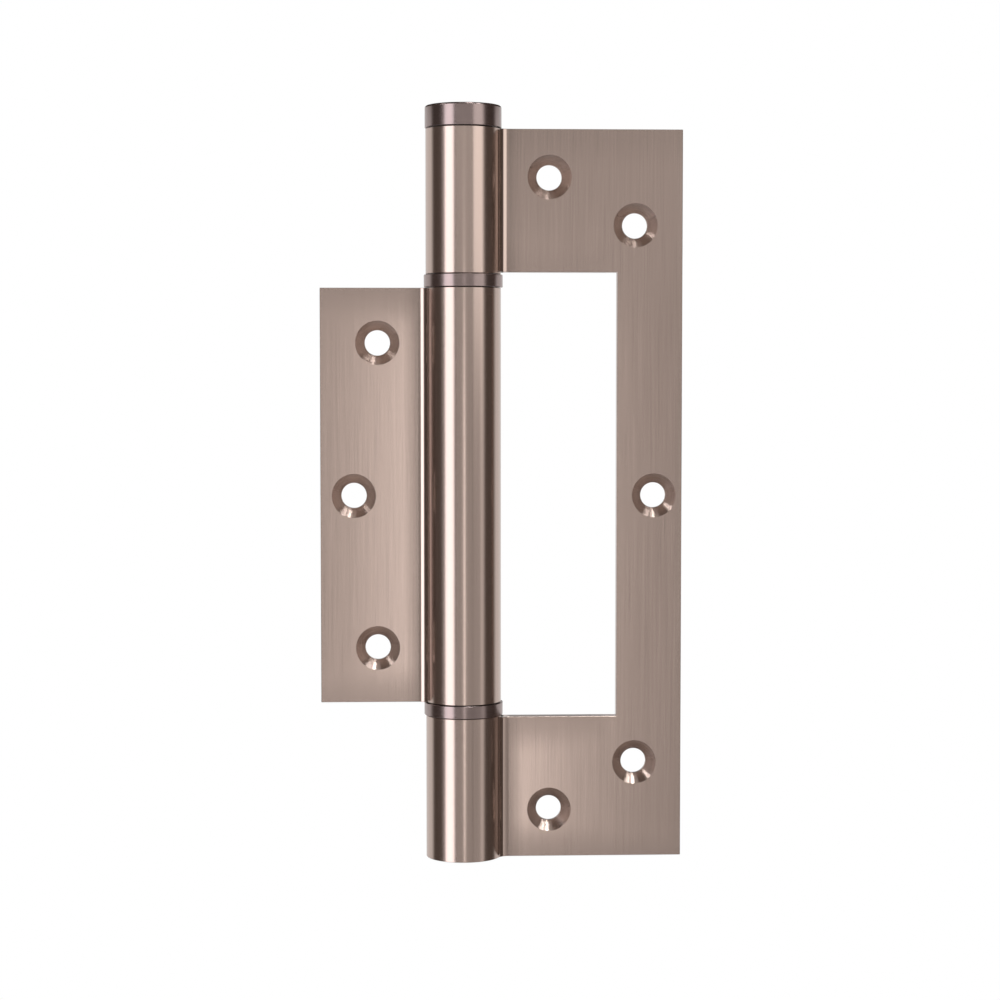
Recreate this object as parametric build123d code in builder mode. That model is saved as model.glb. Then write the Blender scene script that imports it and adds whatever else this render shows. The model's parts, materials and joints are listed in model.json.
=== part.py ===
from build123d import *
from math import sqrt
import os

os.makedirs("parts", exist_ok=True)

# Spring hinge with a C-shaped frame leaf and a short door leaf that nests in its window.
# Millimetres. +Z runs up along the barrel, the leaves lie flat open in the XZ plane,
# and the countersunk faces look along -Y. The origin is midway between the frame leaf's
# two end screws, in the plane of the leaves' back faces.

# Leaves
leaf_thickness = 3.0
door_leaf_height = 86.6
door_leaf_reach = 29.85
nest_gap = 2.3
frame_strip_width = 13.6
frame_cheek_height = 29.6
root_radius = 2.5
edge_break = 0.2

# How far a cut runs past the wall it opens, and how closely an edge has to match to be picked
cut_overrun = 1.0
pick_tolerance = 0.001

# Barrel, seen from outside
knuckle_diameter = 15.75
ring_diameter = 16.5
ring_thickness = 2.6
ring_gap = 0.15
window_relief = 0.4
cap_diameter = 16.0
cap_height = 4.6
cap_gap = 0.2
cap_rounding = 0.5

# Screw holes
screw_hole_diameter = 5.3
countersink_diameter = 9.2
countersink_angle = 90
near_screws_from_pin = 17.95
frame_end_screw_margin = 9.9
frame_side_screw_margin = 9.85
frame_side_screw_drop = 19.85
frame_centre_screw_margin = 5.85
door_end_screw_margin = 11.4
door_centre_screw_margin = 6.95

# Bores, bushes and fits
bore_diameter = 12.0
static_fit = 0.03
running_fit = 0.05
free_gap = 0.3
frame_bush_length = 8.0
door_bush_length = 8.0
bush_chamfer = 0.4

# Tension arbor
arbor_diameter = 8.0
arbor_head_diameter = 11.0
arbor_head_length = 4.0
head_washer_thickness = 0.8
guide_rod_diameter = 6.0
guide_pilot_length = 3.0
arbor_recess = 0.3
tension_key_size = 5.0
tension_key_depth = 4.0
lock_groove_depth = 0.7
lock_groove_width = 2.6

# Torsion spring of rectangular wire
wire_width = 1.7
wire_height = 2.4
coil_diameter = 9.2
coil_pitch = 3.2
tang_length = 3.0
tang_fit = 0.2

# Spring anchor, pivot pin and plug
anchor_length = 8.0
anchor_screw_margin = 2.2
pivot_shank_length = 18.0
plug_length = 5.0
plug_recess = 0.4
plug_key_depth = 3.0

# Grub screws
grub_diameter = 3.0
grub_key_size = 1.5
grub_key_depth = 1.4
grub_recess = 0.35
grub_bite = 1.4
dog_point_diameter = 2.0
dog_point_length = 0.3
dog_point_gap = 0.1
cap_grub_diameter = 2.5
cap_grub_bite = 1.2
cap_dog_point_diameter = 1.9

# Places that follow from the sizes above
pin_x = -near_screws_from_pin
pin_y = -leaf_thickness / 2
front_y = -leaf_thickness
knuckle_radius = knuckle_diameter / 2
bore_radius = bore_diameter / 2
arbor_radius = arbor_diameter / 2
seat_radius = bore_radius - static_fit
bush_bore_radius = arbor_radius + running_fit
door_top = door_leaf_height / 2
ring_low = door_top + ring_gap
ring_high = ring_low + ring_thickness
cheek_low = ring_high + ring_gap
window_top = cheek_low + window_relief
frame_top = window_top + frame_cheek_height
window_reach = door_leaf_reach + nest_gap
frame_leaf_reach = window_reach + frame_strip_width
cap_low = frame_top + cap_gap
cap_high = cap_low + cap_height
arbor_end = cap_high - arbor_recess
head_washer_high = door_top - door_bush_length - ring_gap
head_high = head_washer_high - head_washer_thickness
head_low = head_high - arbor_head_length
anchor_low = -door_top + door_bush_length
anchor_high = anchor_low + anchor_length
pivot_end = anchor_low - free_gap
pivot_shank_low = -cheek_low - pivot_shank_length
plug_low = -frame_top + plug_recess
plug_high = plug_low + plug_length
lock_screw_z = (cheek_low + frame_top) / 2
anchor_screw_z = anchor_low + anchor_screw_margin
pivot_screw_z = -cheek_low - pivot_shank_length / 2
cap_screw_z = (cap_low + cap_high) / 2
groove_radius = arbor_radius - lock_groove_depth
bite_radius = bore_radius - grub_bite
dog_hole_radius = bite_radius - dog_point_gap
screw_head_radius = knuckle_radius - grub_recess
guide_radius = guide_rod_diameter / 2

# Working planes: the barrel seen from above, the barrel cut lengthways, and the countersunk faces
barrel = Plane(origin=(pin_x, pin_y, 0))
barrel_section = Plane(origin=(pin_x, pin_y, 0), x_dir=(1, 0, 0), z_dir=(0, -1, 0))
front_face = Plane(origin=(pin_x, front_y, 0), x_dir=(1, 0, 0), z_dir=(0, -1, 0))
pin_axis = Axis((pin_x, pin_y, 0), (0, 0, 1))


def back_plane(radius, height):
    """Plane that touches the back of the barrel at a radius, facing away from it."""
    return Plane(origin=(pin_x, pin_y + radius, height), x_dir=(1, 0, 0), z_dir=(0, 1, 0))


def add_knuckle(low, height, side):
    """Adds a knuckle with the concave roots that run out into its leaf."""
    root_end = sqrt((knuckle_radius + root_radius) ** 2 - (leaf_thickness / 2 + root_radius) ** 2)
    stub_length = root_end + edge_break
    contact = sqrt(knuckle_radius**2 - (leaf_thickness / 2) ** 2)
    with BuildSketch(barrel.offset(low)) as section:
        Circle(knuckle_radius)
        with Locations((side * stub_length / 2, 0)):
            Rectangle(stub_length, leaf_thickness)
        concave = section.vertices().filter_by(lambda v: abs(side * v.X - contact) < pick_tolerance)
        fillet(concave, root_radius)
    extrude(section.sketch, amount=height)


def break_outline(leaf):
    """Breaks the edges around both flat faces of a leaf."""
    flats = leaf.faces().filter_by(Axis.Y)
    chamfer(flats.edges(), edge_break)


def tube(inner, outer, low, high, chamfered):
    """Turned sleeve around the pin axis, with its two outer edges broken."""
    with BuildPart() as sleeve:
        with BuildSketch(barrel.offset(low)):
            Circle(outer)
            Circle(inner, mode=Mode.SUBTRACT)
        extrude(amount=high - low)
        circles = sleeve.edges().filter_by(GeomType.CIRCLE)
        chamfer(circles.filter_by(lambda e: abs(e.radius - outer) < pick_tolerance), chamfered)
    return sleeve


def grub_screw(diameter, outer_radius, inner_radius, point_diameter, point_length, height):
    """Socket set screw that enters the barrel from the back."""
    with BuildPart() as screw:
        with BuildSketch(back_plane(outer_radius, height)):
            Circle(diameter / 2)
        extrude(amount=-(outer_radius - inner_radius - point_length))
        with BuildSketch(back_plane(inner_radius, height)):
            Circle(point_diameter / 2)
        extrude(amount=point_length)
        with BuildSketch(back_plane(outer_radius, height)):
            RegularPolygon(grub_key_size / 2, 6, major_radius=False)
        extrude(amount=-grub_key_depth, mode=Mode.SUBTRACT)
    return screw


def cut_back_hole(diameter, outer_radius, inner_radius, height):
    """Cuts the threaded hole of a grub screw into the part being built."""
    with BuildSketch(back_plane(outer_radius, height)) as hole:
        Circle(diameter / 2 + static_fit)
    extrude(hole.sketch, amount=-(outer_radius - inner_radius), mode=Mode.SUBTRACT)


# Frame leaf: one piece with the upper and lower knuckles
with BuildPart() as frame_leaf:
    with BuildSketch(front_face):
        with BuildLine():
            Polyline(
                (0, window_top),
                (window_reach, window_top),
                (window_reach, -window_top),
                (0, -window_top),
                (0, -frame_top),
                (frame_leaf_reach, -frame_top),
                (frame_leaf_reach, frame_top),
                (0, frame_top),
                close=True,
            )
        make_face()
    extrude(amount=-leaf_thickness)
    break_outline(frame_leaf)
    add_knuckle(window_top, frame_cheek_height, 1)
    add_knuckle(-frame_top, frame_cheek_height, 1)
    for low in (cheek_low, -window_top):
        with BuildSketch(barrel.offset(low)):
            Circle(knuckle_radius)
        extrude(amount=window_relief)
    with BuildSketch(barrel.offset(-frame_top)):
        Circle(bore_radius)
    extrude(amount=2 * frame_top, mode=Mode.SUBTRACT)
    end_z = frame_top - frame_end_screw_margin
    side_x = frame_leaf_reach - frame_side_screw_margin
    side_z = frame_top - frame_side_screw_drop
    centre_x = frame_leaf_reach - frame_centre_screw_margin
    frame_screws = [
        (near_screws_from_pin, end_z),
        (near_screws_from_pin, -end_z),
        (side_x, side_z),
        (side_x, -side_z),
        (centre_x, 0),
    ]
    with Locations(front_face):
        with Locations(*frame_screws):
            CounterSinkHole(
                screw_hole_diameter / 2,
                countersink_diameter / 2,
                leaf_thickness,
                countersink_angle,
            )
    cut_back_hole(grub_diameter, knuckle_radius + cut_overrun, bore_radius - cut_overrun, lock_screw_z)
    cut_back_hole(grub_diameter, knuckle_radius + cut_overrun, bore_radius - cut_overrun, pivot_screw_z)
frame_leaf.part.label = "frame_leaf"

# Door leaf: one piece with the long middle knuckle
with BuildPart() as door_leaf:
    with BuildSketch(front_face):
        with Locations((-door_leaf_reach / 2, 0)):
            Rectangle(door_leaf_reach, door_leaf_height)
    extrude(amount=-leaf_thickness)
    break_outline(door_leaf)
    add_knuckle(-door_top, door_leaf_height, -1)
    with BuildSketch(barrel.offset(-door_top)):
        Circle(bore_radius)
    extrude(amount=door_leaf_height, mode=Mode.SUBTRACT)
    door_screw_z = door_top - door_end_screw_margin
    door_screws = [
        (-near_screws_from_pin, door_screw_z),
        (-near_screws_from_pin, -door_screw_z),
        (door_centre_screw_margin - door_leaf_reach, 0),
    ]
    with Locations(front_face):
        with Locations(*door_screws):
            CounterSinkHole(
                screw_hole_diameter / 2,
                countersink_diameter / 2,
                leaf_thickness,
                countersink_angle,
            )
    cut_back_hole(grub_diameter, knuckle_radius + cut_overrun, bore_radius - cut_overrun, anchor_screw_z)
door_leaf.part.label = "door_leaf"

# Collar rings between the knuckles, each on a plastic liner
ring_radius = ring_diameter / 2
upper_ring = tube(bore_radius, ring_radius, ring_low, ring_high, edge_break)
upper_ring.part.label = "upper_ring"
lower_ring = tube(bore_radius, ring_radius, -ring_high, -ring_low, edge_break)
lower_ring.part.label = "lower_ring"
upper_ring_liner = tube(bush_bore_radius, seat_radius, ring_low, ring_high, edge_break)
upper_ring_liner.part.label = "upper_ring_liner"
lower_ring_liner = tube(bush_bore_radius, seat_radius, -ring_high, -ring_low, edge_break)
lower_ring_liner.part.label = "lower_ring_liner"

# Bushes in the knuckles
upper_frame_bush = tube(bush_bore_radius, seat_radius, frame_top - frame_bush_length, frame_top, bush_chamfer)
upper_frame_bush.part.label = "upper_frame_bush"
lower_frame_bush = tube(bush_bore_radius, seat_radius, cheek_low, cheek_low + frame_bush_length, bush_chamfer)
lower_frame_bush.part.label = "lower_frame_bush"
upper_door_bush = tube(bush_bore_radius, seat_radius, door_top - door_bush_length, door_top, bush_chamfer)
upper_door_bush.part.label = "upper_door_bush"
lower_door_bush = tube(bush_bore_radius, seat_radius, -door_top, door_bush_length - door_top, bush_chamfer)
lower_door_bush.part.label = "lower_door_bush"

# Tension arbor: keyed at the top, grooved for its lock screw, with a slotted head for the spring
with BuildPart() as tension_arbor:
    with BuildSketch(barrel_section):
        with BuildLine():
            Polyline(
                (0, anchor_high - guide_pilot_length),
                (guide_radius, anchor_high - guide_pilot_length),
                (guide_radius, head_low),
                (arbor_head_diameter / 2, head_low),
                (arbor_head_diameter / 2, head_high),
                (arbor_radius, head_high),
                (arbor_radius, lock_screw_z - lock_groove_width / 2),
                (groove_radius, lock_screw_z - lock_groove_width / 2),
                (groove_radius, lock_screw_z + lock_groove_width / 2),
                (arbor_radius, lock_screw_z + lock_groove_width / 2),
                (arbor_radius, arbor_end),
                (0, arbor_end),
                close=True,
            )
        make_face()
    revolve(axis=pin_axis)
    with BuildSketch(barrel.offset(arbor_end)):
        RegularPolygon(tension_key_size / 2, 6, major_radius=False)
    extrude(amount=-tension_key_depth, mode=Mode.SUBTRACT)
    with BuildSketch(barrel.offset(head_low)):
        with Locations((coil_diameter / 2, 0)):
            Rectangle(wire_width + 2 * tang_fit, wire_height + 2 * tang_fit)
    extrude(amount=arbor_head_length, mode=Mode.SUBTRACT)
    cut_back_hole(cap_grub_diameter, arbor_radius + cut_overrun, arbor_radius - cap_grub_bite, cap_screw_z)
tension_arbor.part.label = "tension_arbor"

# Tension cap: turned disc on the arbor's upper end
with BuildPart() as tension_cap:
    with BuildSketch(barrel.offset(cap_low)):
        Circle(cap_diameter / 2)
        Circle(arbor_radius + static_fit, mode=Mode.SUBTRACT)
    extrude(amount=cap_height)
    circles = tension_cap.edges().filter_by(GeomType.CIRCLE)
    rims = circles.filter_by(lambda e: abs(e.radius - cap_diameter / 2) < pick_tolerance)
    fillet(rims.sort_by(Axis.Z)[-1], cap_rounding)
    chamfer(tension_cap.edges().filter_by(GeomType.CIRCLE).sort_by(Axis.Z)[0:1], edge_break)
    cut_back_hole(cap_grub_diameter, cap_diameter / 2 + cut_overrun, arbor_radius - cut_overrun, cap_screw_z)
tension_cap.part.label = "tension_cap"

# Plain washer between the arbor's head and the bush above it
with BuildPart() as head_washer:
    with BuildSketch(barrel.offset(head_high)):
        Circle(arbor_head_diameter / 2)
        Circle(bush_bore_radius, mode=Mode.SUBTRACT)
    extrude(amount=head_washer_thickness)
head_washer.part.label = "head_washer"

# Torsion spring: rectangular wire wound around the guide rod, with a straight tang at each end
coil_low = anchor_high + free_gap
coil_high = head_low - free_gap
coil_rise = coil_high - coil_low - wire_height
coil_turns = int(coil_rise / coil_pitch)
with BuildPart() as torsion_spring:
    with BuildLine(barrel.offset(coil_low + wire_height / 2)) as coil:
        Helix(coil_rise / coil_turns, coil_rise, coil_diameter / 2)
    with BuildSketch(Plane(origin=coil.line @ 0, x_dir=(1, 0, 0), z_dir=coil.line % 0)):
        Rectangle(wire_width, wire_height)
    sweep(path=coil.line, is_frenet=True)
    with BuildSketch(barrel.offset(coil_low - free_gap - tang_length)):
        with Locations((coil_diameter / 2, 0)):
            Rectangle(wire_width, wire_height)
    extrude(amount=tang_length + free_gap + wire_height / 2)
    with BuildSketch(barrel.offset(coil_high - wire_height / 2)):
        with Locations((coil_diameter / 2, 0)):
            Rectangle(wire_width, wire_height)
    extrude(amount=tang_length + free_gap + wire_height / 2)
torsion_spring.part.label = "torsion_spring"

# Spring anchor: plug in the middle knuckle that holds the lower tang and pilots the guide rod
with BuildPart() as spring_anchor:
    with BuildSketch(barrel.offset(anchor_low)):
        Circle(seat_radius)
    extrude(amount=anchor_length)
    with BuildSketch(barrel.offset(anchor_high)):
        Circle(guide_radius + running_fit)
        with Locations((coil_diameter / 2, 0)):
            Rectangle(wire_width + 2 * tang_fit, wire_height + 2 * tang_fit)
    extrude(amount=-(guide_pilot_length + free_gap), mode=Mode.SUBTRACT)
    cut_back_hole(grub_diameter, bore_radius + cut_overrun, dog_hole_radius, anchor_screw_z)
spring_anchor.part.label = "spring_anchor"

# Pivot pin: shank fixed in the lower knuckle, journal in the middle knuckle's lower bush
with BuildPart() as pivot_pin:
    with BuildSketch(barrel.offset(pivot_shank_low)):
        Circle(seat_radius)
    extrude(amount=pivot_shank_length)
    with BuildSketch(barrel.offset(-cheek_low)):
        Circle(arbor_radius)
    extrude(amount=pivot_end + cheek_low)
    ends = pivot_pin.edges().filter_by(GeomType.CIRCLE).sort_by(Axis.Z)
    chamfer([ends[0], ends[-1]], bush_chamfer)
    cut_back_hole(grub_diameter, bore_radius + cut_overrun, dog_hole_radius, pivot_screw_z)
pivot_pin.part.label = "pivot_pin"

# Plug that closes the lower knuckle
with BuildPart() as bottom_plug:
    with BuildSketch(barrel.offset(plug_low)):
        Circle(seat_radius)
    extrude(amount=plug_length)
    chamfer(bottom_plug.edges().filter_by(GeomType.CIRCLE), bush_chamfer)
    with BuildSketch(barrel.offset(plug_low)):
        RegularPolygon(tension_key_size / 2, 6, major_radius=False)
    extrude(amount=plug_key_depth, mode=Mode.SUBTRACT)
bottom_plug.part.label = "bottom_plug"

# Grub screws, all entered from the back of the barrel
arbor_lock_screw = grub_screw(
    grub_diameter,
    screw_head_radius,
    groove_radius + dog_point_gap,
    dog_point_diameter,
    arbor_radius + dog_point_length - groove_radius - dog_point_gap,
    lock_screw_z,
)
arbor_lock_screw.part.label = "arbor_lock_screw"
anchor_screw = grub_screw(
    grub_diameter,
    screw_head_radius,
    bite_radius,
    dog_point_diameter,
    dog_point_length,
    anchor_screw_z,
)
anchor_screw.part.label = "anchor_screw"
pivot_screw = grub_screw(
    grub_diameter,
    screw_head_radius,
    bite_radius,
    dog_point_diameter,
    dog_point_length,
    pivot_screw_z,
)
pivot_screw.part.label = "pivot_screw"
cap_screw = grub_screw(
    cap_grub_diameter,
    cap_diameter / 2 - grub_recess,
    arbor_radius - cap_grub_bite + dog_point_gap,
    cap_dog_point_diameter,
    dog_point_length,
    cap_screw_z,
)
cap_screw.part.label = "cap_screw"

hinge_parts = [
    frame_leaf,
    door_leaf,
    tension_cap,
    tension_arbor,
    head_washer,
    torsion_spring,
    spring_anchor,
    pivot_pin,
    bottom_plug,
    upper_ring,
    lower_ring,
    upper_ring_liner,
    lower_ring_liner,
    upper_frame_bush,
    lower_frame_bush,
    upper_door_bush,
    lower_door_bush,
    arbor_lock_screw,
    anchor_screw,
    pivot_screw,
    cap_screw,
]
for piece in hinge_parts:
    export_step(piece.part, f"parts/{piece.part.label}.step")
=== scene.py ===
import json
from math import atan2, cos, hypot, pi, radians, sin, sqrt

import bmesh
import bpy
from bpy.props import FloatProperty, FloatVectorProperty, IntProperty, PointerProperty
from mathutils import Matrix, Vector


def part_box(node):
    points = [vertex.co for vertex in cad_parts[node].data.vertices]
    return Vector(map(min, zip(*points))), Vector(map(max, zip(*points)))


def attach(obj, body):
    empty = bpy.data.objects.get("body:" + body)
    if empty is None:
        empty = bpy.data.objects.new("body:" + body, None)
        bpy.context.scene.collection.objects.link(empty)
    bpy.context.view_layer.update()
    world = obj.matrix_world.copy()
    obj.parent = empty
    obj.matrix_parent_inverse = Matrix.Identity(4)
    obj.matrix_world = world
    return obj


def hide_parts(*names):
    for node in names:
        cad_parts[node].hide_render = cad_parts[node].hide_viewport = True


bl_info = {
    "name": "Spring Hinge Finish",
    "version": (1, 0, 0),
    "blender": (4, 5, 0),
    "location": "3D View > Sidebar > Hinge",
    "description": "Models the finished surfaces of a spring hinge around its construction model",
    "category": "Object",
}

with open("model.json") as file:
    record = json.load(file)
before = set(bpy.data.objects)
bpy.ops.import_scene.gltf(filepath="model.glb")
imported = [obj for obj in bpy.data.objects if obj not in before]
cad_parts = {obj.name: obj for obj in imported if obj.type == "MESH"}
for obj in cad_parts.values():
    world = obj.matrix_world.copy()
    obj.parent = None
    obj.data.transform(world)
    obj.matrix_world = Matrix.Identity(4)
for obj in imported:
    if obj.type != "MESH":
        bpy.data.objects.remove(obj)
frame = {"nodes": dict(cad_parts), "record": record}

MM = 0.001
NEAR = 0.001 * MM               # how closely a vertex has to match a place to be picked
ANGLE_SLACK = 0.001             # the same for its angle round the pin axis
FACING = 0.99                   # a face whose normal has this much along an axis looks that way
ROOT_CLEARANCE = 0.6 * MM       # flat kept between a root and the first line across its leaf
CUT_OVERRUN = 0.5 * MM          # length by which a cutter stands past the face it opens
ROOT_STEPS = 20                 # steps round a root
CAP_ROUNDING_STEPS = 8          # steps over the rounded rim of the cap
SCREW_HOLE_STEPS = 96           # steps round a wood screw's hole
GRUB_HOLE_STEPS = 50            # steps round a grub screw's hole
SMOOTH_ANGLE = radians(25)      # faces that meet at less are shaded as one surface
SHARP_ANGLE = radians(40)       # edges that turn by more get a chamfer

# Noise of the finishes: scale per metre along X, Y and Z
FINE_BRUSHING = (5200, 5200, 30)
BROAD_BRUSHING = (900, 900, 6)
HAIRLINES = (3600, 3600, 45)
CLOUDS = (35, 35, 18)
TURNING = (40, 40, 9000)
FACE_TURNING = 9000
COUNTERSINKING = (60, 9000, 60)
SEEN_NOISE = (0.3, 0.7)         # range that most of a noise's values lie in
SEEN_TURNING = (0.35, 0.65)     # the same for the mean of two noises
DARK_HAIR = (0.58, 0.68)        # noise from which a dark hairline starts, and where it is full
PALE_HAIR = (0.42, 0.32)
FINE_SHARE = 0.75               # part of the fine brushing in the lines
QUARTER_TURN = 0.25             # turn of the brushed gloss from its tangent

# Distances outside the barrel's surface between which one finish turns into another
FLAT_ZONE = (1.1 * MM, 1.9 * MM)
# The next zone also sets how far the painted shade beside the barrel reaches
BUFFING_AND_SHADE_ZONE = (1.2 * MM, 4.8 * MM)
STEP_WIDTH = 0.1 * MM           # change from the barrel's gloss to the roots'
# The painted shade along the leaf's ends also starts this far inside the window's side
SIDE_LEAD = 6.2 * MM            # buffing beside the window starts this far inside its side

# Depths and strengths of the bump
BUMP_DEPTH = 0.003 * MM
INNER_BUMP_DEPTH = 0.004 * MM
ROUND_BUMP, FLAT_BUMP = 0.05, 0.33
COLLAR_BUMP, COUNTERSINK_BUMP, INNER_BUMP = 0.25, 0.15, 0.3

# How far the marks change a metal's colour (a factor) or its roughness
LINE_TONE = (0.97, 1.03)
CLOUD_TONE = (0.98, 1.02)
HAIR_TONES = (0.94, 1.05)       # dark and pale hairlines
COLLAR_TONE = (0.95, 1.05)
MARK_TONE = (0.9, 1.1)
LINE_GLOSS = (0.9, 1.1)         # factor of the roughness
COUNTERSINK_ROUGHNESS = (0.2, 0.26)
COLLAR_ROUGHER = 0.05           # roughness added by the turning marks
INNER_ROUGHER = 0.06
COUNTERSINK_SHADE = 0.95        # colour factor of a cut countersink against its leaf
FLAT_ANISOTROPY, COUNTERSINK_ANISOTROPY = 0.55, 0.75

# Places read from the construction model
cap_low, cap_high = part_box("tension_cap")
pin_x = (cap_low[0] + cap_high[0]) / 2
pin_y = (cap_low[1] + cap_high[1]) / 2
cap_radius = (cap_high[0] - cap_low[0]) / 2
frame_low, frame_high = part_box("frame_leaf")
door_low, door_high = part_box("door_leaf")
knuckle_radius = pin_x - frame_low[0]
frame_reach = frame_high[0] - pin_x
door_reach = pin_x - door_low[0]
leaf_thickness = -2 * pin_y
front_y = pin_y - leaf_thickness / 2


class HingeSizes(bpy.types.PropertyGroup):
    """Sizes of the finished surfaces that the construction model's boxes don't give."""

    root_radius: FloatProperty(
        name="Root Radius",
        description="Concave root between knuckle and leaf",
        default=2.5 * MM,
        unit="LENGTH",
    )
    strip_width: FloatProperty(
        name="Strip Width",
        description="Frame leaf beside its window",
        default=13.6 * MM,
        unit="LENGTH",
    )
    cheek_height: FloatProperty(
        name="Cheek Height",
        description="Frame leaf above and below its window",
        default=29.6 * MM,
        unit="LENGTH",
    )
    window_relief: FloatProperty(
        name="Window Relief",
        description="Length by which a knuckle stands past its cheek",
        default=0.4 * MM,
        unit="LENGTH",
    )
    bore_radius: FloatProperty(
        name="Bore Radius", description="Bore of the knuckles", default=6.0 * MM, unit="LENGTH"
    )
    arbor_radius: FloatProperty(
        name="Arbor Radius",
        description="Hole in the cap for the arbor",
        default=4.03 * MM,
        unit="LENGTH",
    )
    edge_break: FloatProperty(
        name="Edge Break",
        description="Small chamfer on every sharp edge",
        default=0.07 * MM,
        unit="LENGTH",
    )
    cap_rounding: FloatProperty(
        name="Cap Rounding",
        description="Rounded upper rim of the cap",
        default=0.5 * MM,
        unit="LENGTH",
    )
    near_screws: FloatProperty(
        name="Near Screws",
        description="Screws nearest the barrel, from the pin axis",
        default=17.95 * MM,
        unit="LENGTH",
    )
    frame_end_margin: FloatProperty(
        name="Frame End Margin",
        description="Frame leaf's end screws, from its ends",
        default=9.9 * MM,
        unit="LENGTH",
    )
    frame_side_margin: FloatProperty(
        name="Frame Side Margin",
        description="Frame leaf's side screws, from its outer edge",
        default=9.85 * MM,
        unit="LENGTH",
    )
    frame_side_drop: FloatProperty(
        name="Frame Side Drop",
        description="Frame leaf's side screws, from its ends",
        default=19.85 * MM,
        unit="LENGTH",
    )
    frame_centre_margin: FloatProperty(
        name="Frame Centre Margin",
        description="Frame leaf's middle screw, from its outer edge",
        default=5.85 * MM,
        unit="LENGTH",
    )
    door_end_margin: FloatProperty(
        name="Door End Margin",
        description="Door leaf's end screws, from its ends",
        default=11.4 * MM,
        unit="LENGTH",
    )
    door_centre_margin: FloatProperty(
        name="Door Centre Margin",
        description="Door leaf's middle screw, from its outer edge",
        default=6.95 * MM,
        unit="LENGTH",
    )
    hole_radius: FloatProperty(
        name="Screw Hole Radius",
        description="Clearance hole of a wood screw",
        default=2.65 * MM,
        unit="LENGTH",
    )
    countersink_radius: FloatProperty(
        name="Countersink Radius",
        description="Countersink at the leaf's face",
        default=4.6 * MM,
        unit="LENGTH",
    )
    grub_radius: FloatProperty(
        name="Grub Hole Radius",
        description="Threaded hole in a knuckle's back",
        default=1.53 * MM,
        unit="LENGTH",
    )
    cap_grub_radius: FloatProperty(
        name="Cap Grub Hole Radius",
        description="Threaded hole in the cap's back",
        default=1.28 * MM,
        unit="LENGTH",
    )
    grub_hole_reach: FloatProperty(
        name="Grub Hole Reach",
        description="Depth of a grub screw's hole past the wall of the bore",
        default=1.2 * MM,
        unit="LENGTH",
    )
    round_steps: IntProperty(
        name="Round Steps", description="Steps round the barrel", default=192, min=48, max=512
    )


class HingeFinish(bpy.types.PropertyGroup):
    """Colours and roughness of the hinge's metals, and the painted shade on the leaves."""

    leaf_colour: FloatVectorProperty(
        name="Leaf Colour",
        description="Bronze-tinted nickel",
        subtype="COLOR",
        size=3,
        default=(0.55, 0.443, 0.392),
    )
    collar_colour: FloatVectorProperty(
        name="Collar Colour",
        description="Cap and rings",
        subtype="COLOR",
        size=3,
        default=(0.34, 0.272, 0.26),
    )
    leaf_roughness: FloatProperty(
        name="Leaf Roughness",
        description="Buffed middle of the leaves",
        default=0.15,
        min=0.0,
        max=1.0,
    )
    leaf_edge_roughness: FloatProperty(
        name="Leaf Edge Roughness",
        description="Brushed ends of the leaves",
        default=0.235,
        min=0.0,
        max=1.0,
    )
    flat_tone: FloatProperty(
        name="Flat Tone",
        description="Colour factor of the brushed leaves against the barrel",
        default=0.92,
        min=0.0,
        max=1.0,
    )
    # Painted shade: colour factor that darkens the leaves along their ends and window
    painted_end_shade: FloatProperty(
        name="End Tone",
        description="Colour factor along the ends of the leaves",
        default=0.88,
        min=0.0,
        max=1.0,
    )
    # Painted shade: colour factor that darkens the leaves beside the barrel
    painted_root_shade: FloatProperty(
        name="Root Tone",
        description="Colour factor of the leaves beside the barrel",
        default=0.75,
        min=0.0,
        max=1.0,
    )
    barrel_roughness: FloatProperty(
        name="Barrel Roughness", description="Polished barrel", default=0.195, min=0.0, max=1.0
    )
    root_roughness: FloatProperty(
        name="Root Roughness",
        description="Smooth roots between barrel and leaves",
        default=0.13,
        min=0.0,
        max=1.0,
    )
    # This is also the width of the painted shade along the ends and the window
    end_width: FloatProperty(
        name="End Width",
        description="Brushed width along the ends and the window of the leaves",
        default=9 * MM,
        unit="LENGTH",
    )


class HingeStudio(bpy.types.PropertyGroup):
    """Camera and lights."""

    eye: FloatVectorProperty(
        name="Eye",
        description="Camera place",
        subtype="TRANSLATION",
        size=3,
        default=(-0.03023, -0.47878, 0.02567),
    )
    yaw: FloatProperty(
        name="Yaw", description="Turn to the right", default=radians(2.395), subtype="ANGLE"
    )
    pitch: FloatProperty(
        name="Pitch", description="Tilt downwards", default=radians(3.195), subtype="ANGLE"
    )
    lens: FloatProperty(
        name="Lens", description="Focal length in millimetres on a 36 mm wide sensor", default=82.05
    )
    world_level: FloatProperty(
        name="World Level", description="Grey of the dark studio", default=0.1, min=0.0
    )
    sweep_level: FloatProperty(
        name="Sweep Level",
        description="Brightness of the sweep behind the hinge",
        default=0.85,
        min=0.0,
    )


def sizes():
    """The hinge's sizes, as set in the panel."""
    return bpy.context.scene.hinge_sizes


def finish_values():
    """The colours and roughness of the metals, as set in the panel."""
    return bpy.context.scene.hinge_finish


def leave_edit_mode():
    """Goes to object mode and deselects everything."""
    if bpy.context.object and bpy.context.object.mode != "OBJECT":
        bpy.ops.object.mode_set(mode="OBJECT")
    bpy.ops.object.select_all(action="DESELECT")


def activate(piece):
    """Selects one object alone and makes it the active one."""
    leave_edit_mode()
    piece.select_set(True)
    bpy.context.view_layer.objects.active = piece


def settle(name):
    """Names the new primitive and puts its place into its mesh."""
    piece = bpy.context.object
    piece.name = name
    piece.data.name = name
    bpy.ops.object.transform_apply(location=True, rotation=True, scale=True)
    return piece


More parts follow.
